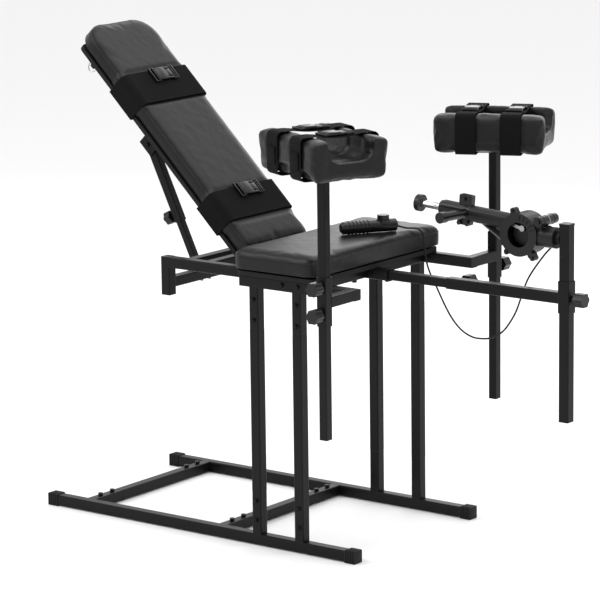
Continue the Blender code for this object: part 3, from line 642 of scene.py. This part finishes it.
@dataclass
class SoftForm:
    """A stuffed piece: drawn in a little, blown up as cloth, and cinched under its straps."""

    node: str
    body: str
    turn: Matrix
    voxel: float = 0.006
    inset: float = 0.0022
    travel: float = 0.0060
    cinched: float = 0.0016
    wrinkle: float = 0.0004
    fill: float = 0.7
    bands: tuple[tuple[int, float, float], ...] = ()
    pressure: float = 4.0
    last_frame: int = 20
    fade: float = 0.014
    smoothings: int = 3
    fold_scales: tuple[float, float] = (48.0, 130.0)
    fine_fold: float = 0.45

    def build(self, dresser: Dresser, frame: dict[str, Any]) -> Piece:
        """Makes the padded piece and hides the plain solid.

        Args:
            dresser: Gives the finish.
            frame: The loaded frame.

        Returns:
            The padded piece.
        """
        form = self._shrunk(self._remeshed(frame["nodes"][self.node].data))
        start = [vertex.co.copy() for vertex in form.data.vertices]
        end = self._inflated(form)
        shape = bmesh.new()
        shape.from_mesh(form.data)
        bpy.data.objects.remove(form)
        for vertex, before, after in zip(shape.verts, start, end):
            move = after - before
            most = self._room(before) / max(move.length, 1e-9)
            vertex.co = before + move * min(1.0, most)
        self._fitted(shape, frame["nodes"][self.node].data)
        shape.normal_update()
        folds = [vertex.normal * self._fold(vertex.co) for vertex in shape.verts]
        for vertex, fold in zip(shape.verts, folds):
            vertex.co += fold
        bmesh.ops.transform(shape, matrix=self.turn, verts=shape.verts)
        piece = new_piece(self.node + "_soft", shape, 180.0)
        finer = piece.modifiers.new("finer", "SUBSURF")
        finer.levels = finer.render_levels = 1
        dresser.dress(piece, LEATHER)
        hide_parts(self.node)
        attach(piece, self.body)
        LOG.info("%s made", piece.name)
        return piece

    def _fitted(self, shape: Shape, plain: bpy.types.Mesh) -> None:
        """Stretches the blown form a little, so that it fills its plain solid's box."""
        inverse = self.turn.inverted()
        wanted = self._box([inverse @ vertex.co for vertex in plain.vertices])
        found = self._box([vertex.co for vertex in shape.verts])
        for axis in range(3):
            (low, high), (start, end) = ((box[0][axis], box[1][axis]) for box in (wanted, found))
            for vertex in shape.verts:
                share = (vertex.co[axis] - start) / (end - start)
                vertex.co[axis] = low + share * (high - low)

    @staticmethod
    def _box(places: Sequence[Vector]) -> tuple[list[float], list[float]]:
        """Returns the lowest and highest corners of some points."""
        low = [min(place[axis] for place in places) for axis in range(3)]
        high = [max(place[axis] for place in places) for axis in range(3)]
        return low, high

    def _remeshed(self, plain: bpy.types.Mesh) -> bpy.types.Mesh:
        """Copies a plain solid into the form's own turned frame as an even mesh."""
        shape = bmesh.new()
        shape.from_mesh(plain)
        bmesh.ops.remove_doubles(shape, verts=shape.verts, dist=1e-5)
        bmesh.ops.transform(shape, matrix=self.turn.inverted(), verts=shape.verts)
        rough = new_piece(self.node + "_rough", shape)
        remesh = rough.modifiers.new("remesh", "REMESH")
        remesh.mode = "VOXEL"
        remesh.voxel_size = self.voxel
        bpy.context.view_layer.update()
        dense = evaluated_mesh(rough)
        bpy.data.objects.remove(rough)
        return dense

    def _shrunk(self, dense: bpy.types.Mesh) -> Piece:
        """Rounds the even mesh and draws it in by the inset."""
        shape = bmesh.new()
        shape.from_mesh(dense)
        bpy.data.meshes.remove(dense)
        axes = {"use_axis_x": True, "use_axis_y": True, "use_axis_z": True}
        for _ in range(self.smoothings):
            bmesh.ops.smooth_vert(shape, verts=shape.verts, factor=0.5, **axes)
        shape.normal_update()
        for vertex in shape.verts:
            vertex.co -= vertex.normal * self.inset
        return new_piece(self.node + "_form", shape, 180.0)

    def _inflated(self, form: Piece) -> list[Vector]:
        """Blows the form up as cloth.

        Args:
            form: The object to blow up, which is left as it is.

        Returns:
            Where each of its points ends.
        """
        cloth = form.modifiers.new("stuffing", "CLOTH")
        cloth.settings.use_pressure = True
        cloth.settings.uniform_pressure_force = self.pressure
        cloth.settings.effector_weights.gravity = 0.0
        cloth.point_cache.frame_start = 1
        cloth.point_cache.frame_end = self.last_frame
        for moment in range(1, self.last_frame + 1):
            bpy.context.scene.frame_set(moment)
        blown = form.evaluated_get(bpy.context.evaluated_depsgraph_get()).data
        ends = [vertex.co.copy() for vertex in blown.vertices]
        form.modifiers.remove(cloth)
        bpy.context.scene.frame_set(1)
        return ends

    def _room(self, place: Vector) -> float:
        """How far a point may swell: freely in the open, and hardly under a strap."""
        pinch = 0.0
        for axis, low, high in self.bands:
            outside = max(low - place[axis], place[axis] - high, 0.0)
            pinch = max(pinch, 1.0 - min(1.0, outside / self.fade))
        smooth = pinch * pinch * (3 - 2 * pinch)
        return self.travel + (self.cinched - self.travel) * smooth

    def _fold(self, place: Vector) -> float:
        """The height of the soft folds at a point."""
        open_share = (self._room(place) - self.cinched) / (self.travel - self.cinched)
        broad, fine = (noise.noise(place * scale) for scale in self.fold_scales)
        return self.wrinkle * open_share * (broad + self.fine_fold * fine)


@dataclass
class Buckle:
    """A side-release buckle with its two web bars."""

    name: str
    body: str
    frame: Matrix
    length: float = 0.088
    width: float = 0.046
    height: float = 0.010
    web_bars: tuple[float, ...] = (-0.34, -0.48, 0.31, 0.40, 0.49)

    def build(self, dresser: Dresser) -> None:
        """Makes the socket half, the prong half and the bars that the webbing folds round."""
        shape = bmesh.new()
        self._bar(shape, (0.42, 0.86, 1.0), (-0.12, 0.0, 0.5), 0.3, 3)
        self._bar(shape, (0.22, 0.50, 0.8), (0.20, 0.0, 0.4), 0.2)
        for side in (-1, 1):
            self._bar(shape, (0.30, 0.13, 0.7), (0.16, side * 0.36, 0.4), 0.2)
            self._bar(shape, (0.16, 0.07, 0.6), (-0.41, side * 0.46, 0.4), 0.15)
        for place in self.web_bars:
            self._bar(shape, (0.045, 1.0, 0.75), (place, 0.0, 0.42), 0.2)
        for side in (-1, 1):
            self._bar(shape, (0.22, 0.06, 0.6), (0.40, side * 0.47, 0.4), 0.15)
        bmesh.ops.transform(shape, matrix=self.frame, verts=shape.verts)
        fit_out(new_piece(self.name, shape), dresser, PLASTIC, self.body)

    def _bar(
        self,
        shape: Shape,
        size: Sequence[float],
        centre: Sequence[float],
        radius: float,
        segments: int = 2,
    ) -> None:
        """Adds one rounded bar.

        Args:
            shape: The bmesh to add to.
            size: The bar's size, as shares of the buckle's own.
            centre: Its middle, as shares of the buckle's size.
            radius: Its edges' radius, as a share of the buckle's height.
            segments: How finely the edges are rounded.
        """
        whole = (self.length, self.width, self.height)
        sizes = [share * full for share, full in zip(size, whole)]
        middle = [share * full for share, full in zip(centre, whole)]
        add_block(shape, sizes, middle, radius * self.height, segments)


def band(
    name: str,
    section: Sequence[tuple[float, float]],
    low: float,
    high: float,
    frame: Matrix,
    thickness: float,
) -> Piece:
    """Makes a closed webbing band.

    Args:
        name: The piece's name.
        section: The loop's points in Y and Z.
        low: Where the band starts along X.
        high: Where it ends.
        frame: Places the band in the row frame.
        thickness: The webbing's thickness.

    Returns:
        The band.
    """
    shape = bmesh.new()
    ring = [shape.verts.new((low, y, z)) for y, z in section]
    edges = [shape.edges.new((a, b)) for a, b in zip(ring, ring[1:] + ring[:1])]
    swept = bmesh.ops.extrude_edge_only(shape, edges=edges)["geom"]
    moved = [item for item in swept if isinstance(item, bmesh.types.BMVert)]
    bmesh.ops.translate(shape, vec=(high - low, 0, 0), verts=moved)
    bmesh.ops.recalc_face_normals(shape, faces=shape.faces)
    bmesh.ops.solidify(shape, geom=shape.faces[:], thickness=thickness)
    bmesh.ops.transform(shape, matrix=frame, verts=shape.verts)
    return new_piece(name, shape, 50.0)


@dataclass
class LegRest:
    """A leg trough's pad, with its straps, buckles and folded strap ends."""

    tag: str
    side: int
    strap_places: tuple[float, float] = (-0.062, 0.062)
    strap_width: float = 0.056
    skin: float = 0.0032
    webbing: float = 0.0016
    corner: float = 0.015
    sag: float = 0.006
    underside: float = -0.0012
    sag_steps: int = 12
    buckle_sunk: float = 0.004

    def build(self, dresser: Dresser, pivot: Vector, model: dict[str, Any]) -> None:
        """Makes the pad, its straps and what is on them, all in the pad's turned frame."""
        frame = Matrix.Translation(pivot) @ Matrix.Rotation(self.side * PAD_TURN, 4, "Z")
        reach = self.strap_width / 2
        bands = tuple((0, place - reach, place + reach) for place in self.strap_places)
        SoftForm(
            f"leg_pad_{self.tag}",
            f"pad_{self.tag}",
            frame,
            voxel=0.005,
            travel=0.0050,
            wrinkle=0.0011,
            bands=bands,
        ).build(dresser, model)
        body = f"pad_{self.tag}"
        half, height = PAD_SIZE[1] / 2 + self.skin, PAD_SIZE[2] + self.skin
        section = self._section(half, height)
        for number, place in enumerate(self.strap_places):
            ends = (place - reach, place + reach)
            name = f"leg_strap_{self.tag}_{number}"
            strap = band(name, section, *ends, frame, self.webbing)
            fit_out(strap, dresser, WEBBING, body)
            middle = Matrix.Translation((place, 0.0, height - self.buckle_sunk))
            top = frame @ middle @ Matrix.Rotation(math.pi / 2, 4, "Z")
            Buckle(f"leg_buckle_{self.tag}_{number}", body, top).build(dresser)
            self._keeper(number, place, half, frame, dresser)

    def _section(self, half: float, height: float) -> list[tuple[float, float]]:
        """Returns the strap's loop: under the trough, up both walls, and sagging across its top."""
        radius, low = self.corner, self.underside
        points: list[tuple[float, float]] = []
        corners = ((half, low, -90), (half, height, 0), (-half, height, 90), (-half, low, 180))
        for y, z, start in corners:
            centre = (y - math.copysign(radius, y), z + (radius if z < 0 else -radius))
            points += [(centre[0] + out, centre[1] + up) for out, up in arc(radius, start, 4)]
            if start == 0:
                for step in range(1, self.sag_steps):
                    place = (half - radius) * (1 - 2 * (step / self.sag_steps))
                    drop = self.sag * max(0.0, 1 - (place / PAD_TROUGH_HALF) ** 2)
                    points.append((place, height - drop))
        return points

    def _keeper(
        self, number: int, place: float, half: float, frame: Matrix, dresser: Dresser
    ) -> None:
        """Adds the folded webbing end and its keeper on the outer wall."""
        shape = bmesh.new()
        for size, proud, up, radius in (
            ((0.040, 0.0030, 0.046), 0.0020, 0.052, 0.0010),
            ((0.043, 0.0052, 0.007), 0.0030, 0.068, 0.0016),
        ):
            add_block(shape, size, (place, self.side * (half + proud), up), radius)
        bmesh.ops.transform(shape, matrix=frame, verts=shape.verts)
        piece = new_piece(f"leg_strap_end_{self.tag}_{number}", shape)
        fit_out(piece, dresser, WEBBING, f"pad_{self.tag}")


@dataclass
class RibbedFoot:
    """A rubber rail cap with grooves round it."""

    node: str
    ribs: int = 4
    groove: float = 0.0018
    edge: float = 0.003
    cuts: tuple[float, ...] = (-0.0016, -0.0008, 0.0008, 0.0016)
    waist_half: float = 0.0009

    def build(self, dresser: Dresser) -> None:
        """Makes the cap over the plain one's box."""
        low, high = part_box(self.node)
        shape = bmesh.new()
        middle = (low + high) / 2
        add_block(shape, high - low, middle, self.edge)
        pitch = (high.x - low.x) / (self.ribs + 1)
        share = 1 - 2 * self.groove / (high.z - low.z)
        space = Matrix.Translation(-Vector((0, middle.y, middle.z)))
        for rib in range(self.ribs):
            centre = low.x + pitch * (rib + 1)
            for offset in self.cuts:
                bmesh.ops.bisect_plane(
                    shape,
                    geom=shape.verts[:] + shape.edges[:] + shape.faces[:],
                    dist=MERGE,
                    plane_co=(centre + offset, 0, 0),
                    plane_no=(1, 0, 0),
                )
            waist = [
                vertex for vertex in shape.verts if abs(vertex.co.x - centre) < self.waist_half
            ]
            bmesh.ops.scale(shape, vec=(1, share, share), space=space, verts=waist)
        piece = new_piece(self.node + "_ribbed", shape, 30.0)
        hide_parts(self.node)
        fit_out(piece, dresser, RUBBER, "frame")


@dataclass
class TubePlug:
    """A moulded plug in a tube's open end."""

    name: str
    body: str
    mouth: Vector
    outward: Vector
    size: float = 0.0265
    overhang: float = 0.0030

    def build(self, dresser: Dresser) -> None:
        """Makes the plug with a thin domed flange over the tube's mouth."""
        shape = bmesh.new()
        flange = self.size + self.overhang
        add_block(shape, (self.size, self.size, 0.012), (0, 0, -0.0065), 0.0015)
        add_block(shape, (flange, flange, 0.0022), (0, 0, 0.0009), 0.0009)
        turn = self.outward.to_track_quat("Z", "Y").to_matrix().to_4x4()
        bmesh.ops.transform(shape, matrix=Matrix.Translation(self.mouth) @ turn, verts=shape.verts)
        fit_out(new_piece(self.name, shape), dresser, PLASTIC, self.body)


@dataclass
class Upholstery:
    """The seat and backrest cushions with their seams and the backrest's buckles."""

    hinge: Vector
    strap_bands: tuple[tuple[float, float], ...] = ((0.113, 0.216), (0.536, 0.645))
    half_width: float = 0.142
    bottom: float = 0.022
    top: float = 0.836
    sunk: float = 0.0014
    arc_steps: int = 8
    top_radius: float = 0.074
    bottom_radius: float = 0.029
    seat_radius: float = 0.032
    seat_reach: float = 0.031
    buckle_size: tuple[float, float, float] = (0.098, 0.048, 0.011)
    buckle_front: float = 0.0368

    def back_frame(self) -> Matrix:
        """The backrest's own frame: Z up the back and X out of its front."""
        return Matrix.Translation(self.hinge) @ Matrix.Rotation(BACK_ANGLE - math.pi / 2, 4, "Y")

    def build(self, dresser: Dresser, frame: dict[str, Any]) -> None:
        """Makes both cushions, the welts and the buckles."""
        low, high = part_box("seat_cushion")
        turn = Matrix.Translation((low + high) / 2)
        seat = SoftForm("seat_cushion", "frame", turn).build(dresser, frame)
        back = self.back_frame()
        bands = tuple((2, start, end) for start, end in self.strap_bands)
        cushion = SoftForm("backrest_cushion", "backrest", back, bands=bands).build(dresser, frame)
        for tag, depth in (("front", 0.0210), ("rear", -0.0090)):
            line = self._back_line(depth, back)
            self._welt(f"back_welt_{tag}", line, cushion, "backrest", dresser)
        for tag, level in (("top", high.z - 0.0200), ("bottom", low.z + 0.0080)):
            line = self._seat_line(low, high, level)
            self._welt(f"seat_welt_{tag}", line, seat, "frame", dresser)
        upright = Matrix(((0, 0, 1, 0), (1, 0, 0, 0), (0, 1, 0, 0), (0, 0, 0, 1)))
        for tag, up, across in (("upper", 0.622, 0.012), ("lower", 0.199, 0.008)):
            place = Matrix.Translation((self.buckle_front, across, up)) @ upright
            name = f"back_buckle_{tag}"
            Buckle(name, "backrest", back @ place, *self.buckle_size).build(dresser)

    def _back_line(self, depth: float, back: Matrix) -> list[Vector]:
        """Returns the backrest's outline at one depth, in the row frame."""
        half, top = self.half_width - self.sunk, self.top - self.sunk
        bottom = self.bottom + self.sunk
        corners = (
            (half, top, self.top_radius, 0),
            (-half, top, self.top_radius, 90),
            (-half, bottom, self.bottom_radius, 180),
            (half, bottom, self.bottom_radius, 270),
        )
        middle = (self.bottom + self.top) / 2
        points = []
        for y, z, radius, start in corners:
            centre = (y - math.copysign(radius, y), z - math.copysign(radius, z - middle))
            for out, up in arc(radius, start, self.arc_steps):
                points.append(back @ Vector((depth, centre[0] + out, centre[1] + up)))
        return points

    def _seat_line(self, low: Vector, high: Vector, level: float) -> list[Vector]:
        """Returns the seat's outline at one height, in the row frame."""
        radius, middle = self.seat_radius, (low + high) / 2
        corners = ((high.x, high.y), (low.x, high.y), (low.x, low.y), (high.x, low.y))
        points = []
        for turn, (x, y) in enumerate(corners):
            inner_x = x - math.copysign(radius, x - middle.x)
            inner_y = y - math.copysign(radius, y - middle.y)
            for out, aside in arc(self.seat_reach, turn * 90, self.arc_steps):
                points.append(Vector((inner_x + out, inner_y + aside, level)))
        return points

    @staticmethod
    def _welt(
        name: str, line: Sequence[Vector], cushion: Piece, body: str, dresser: Dresser
    ) -> None:
        """Lays a thin sewn welt along a line on a cushion."""
        piece = line_piece(name, hugging(line, cushion), WELT_RADIUS, closed=True)
        fit_out(piece, dresser, THREAD, body)


@dataclass
class Controller:
    """The ribs round the hand controller's grip."""

    ribs: int = 6
    radius: float = 0.0172
    pitch: float = 0.011
    first: float = 0.060
    thickness: float = 0.0011
    ahead: tuple[float, float, float] = (0.555, 0.832, 0.0)

    def build(self, dresser: Dresser) -> None:
        """Adds the ribs one by one from the grip's free end."""
        low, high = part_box("handset_body")
        middle = (low + high) / 2
        ahead = Vector(self.ahead).normalized()
        centre = Vector((middle.x, middle.y, low.z + self.radius))
        turn = ahead.to_track_quat("Z", "Y").to_matrix()
        ring = arc(self.radius, 0, 24, 360)[:-1]
        for number in range(self.ribs):
            place = centre - ahead * (self.first - self.pitch * number)
            points = [place + turn @ Vector((out, up, 0)) for out, up in ring]
            rib = line_piece(f"grip_rib_{number}", points, self.thickness, closed=True, sides=2)
            fit_out(rib, dresser, RUBBER, "frame")


@dataclass
class DriveTrim:
    """The bands round the motor and the vents in the housing's cover."""

    bands: tuple[tuple[float, Finish], ...] = ((0.22, PLASTIC), (0.5, STEEL), (0.78, PLASTIC))
    band_radius: float = 0.0010
    vents: int = 5
    vent_size: tuple[float, float, float] = (0.013, 0.0016, 0.0030)
    vent_reach: float = 0.0455
    vent_depth: float = 0.0032
    first_vent: float = 20
    vent_pitch: float = 16

    def build(self, dresser: Dresser) -> None:
        """Adds the bands and then the vents."""
        low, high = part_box("motor_can")
        centre, radius = (low + high) / 2, (high.x - low.x) / 2
        ring = arc(radius, 0, 32, 360)[:-1]
        for number, (share, finish) in enumerate(self.bands):
            y = low.y + (high.y - low.y) * share
            points = [Vector((centre.x + out, y, centre.z + up)) for out, up in ring]
            name = f"motor_band_{number}"
            piece = line_piece(name, points, self.band_radius, closed=True, sides=2)
            fit_out(piece, dresser, finish, "drive_unit")
        self._vents(dresser)

    def _vents(self, dresser: Dresser) -> None:
        """Adds the vents on an arc round the crank's middle."""
        gear_low, gear_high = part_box("crank_disc")
        gear = (gear_low + gear_high) / 2
        gear.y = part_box("housing_cover")[0].y
        shape = bmesh.new()
        for number in range(self.vents):
            angle = math.radians(self.first_vent + number * self.vent_pitch)
            out = Vector((math.cos(angle), 0, math.sin(angle))) * self.vent_reach
            vent = bmesh.ops.create_cube(shape, size=1.0)["verts"]
            turn = Matrix.Rotation(-angle, 3, "Y")
            bmesh.ops.scale(shape, vec=self.vent_size, verts=vent)
            bmesh.ops.rotate(shape, cent=(0, 0, 0), matrix=turn, verts=vent)
            move = gear + out + Vector((0, self.vent_depth, 0))
            bmesh.ops.translate(shape, vec=move, verts=vent)
        fit_out(new_piece("cover_vents", shape), dresser, RUBBER, "drive_unit")


def plugs() -> list[TubePlug]:
    """Returns the plugs of every tube mouth that shows."""
    found = []
    down, back = Vector((0, 0, -1)), Vector((-1, 0, 0))
    post_plug, stub_in, stub_y, sleeve_in = 0.0215, 0.051, 0.185, 0.0173
    for tag, side in SIDES:
        low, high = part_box(f"side_frame_{tag}")
        mouth = Vector((low.x, (low.y + high.y) / 2, high.z - TUBE / 2))
        found.append(TubePlug(f"beam_plug_{tag}", "frame", mouth, back))
        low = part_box("rear_frame")[0]
        mouth = Vector((low.x + stub_in, side * stub_y, low.z))
        found.append(TubePlug(f"drop_plug_{tag}", "frame", mouth, down))
        low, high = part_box(f"leg_post_{tag}")
        mouth = Vector(((low.x + high.x) / 2, (low.y + high.y) / 2, low.z))
        found.append(TubePlug(f"post_plug_{tag}", f"leg_post_{tag}", mouth, down, post_plug))
    mouth = Vector((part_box("drive_beam")[1].x - sleeve_in, 0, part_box("drive_post")[0].z))
    found.append(TubePlug("drive_post_plug", "drive_post", mouth, down))
    return found


def dress_frame(frame: dict[str, Any], dresser: Dresser) -> None:
    """Gives each carried-over node its slot's finish, but the crank disc a dark one."""
    for row in frame["record"]["subparts"]:
        node = frame["nodes"][row["node"]]
        finish = ALUMINIUM if row["node"] == "crank_disc" else FINISHES[row["material_slot"]]
        node.data.materials.clear()
        node.data.materials.append(dresser.material(finish))
        node.data.shade_smooth()
        node.data.set_sharp_from_angle(angle=math.radians(HARD_EDGE))


def main() -> None:
    """Builds every sub-assembly in order and reports it."""
    for old in list(bpy.data.objects):
        bpy.data.objects.remove(old)
    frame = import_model()
    dresser = Dresser()
    Studio().build(dresser)
    HandsetCord().build(dresser)
    dress_frame(frame, dresser)
    LOG.info("frame dressed")
    joints = {joint["name"]: joint for joint in frame["joints"]}
    Upholstery(Vector(joints["backrest_recline"]["pos_m"])).build(dresser, frame)
    for tag, side in SIDES:
        LegRest(tag, side).build(dresser, Vector(joints[f"pad_turn_{tag}"]["pos_m"]), frame)
        for end in ("rear", "front"):
            RibbedFoot(f"rail_cap_{end}_{tag}").build(dresser)
    for plug in plugs():
        plug.build(dresser)
    Controller().build(dresser)
    DriveTrim().build(dresser)
    bpy.context.view_layer.update()


if __name__ == "__main__":
    logging.basicConfig(level=logging.INFO)
    main()
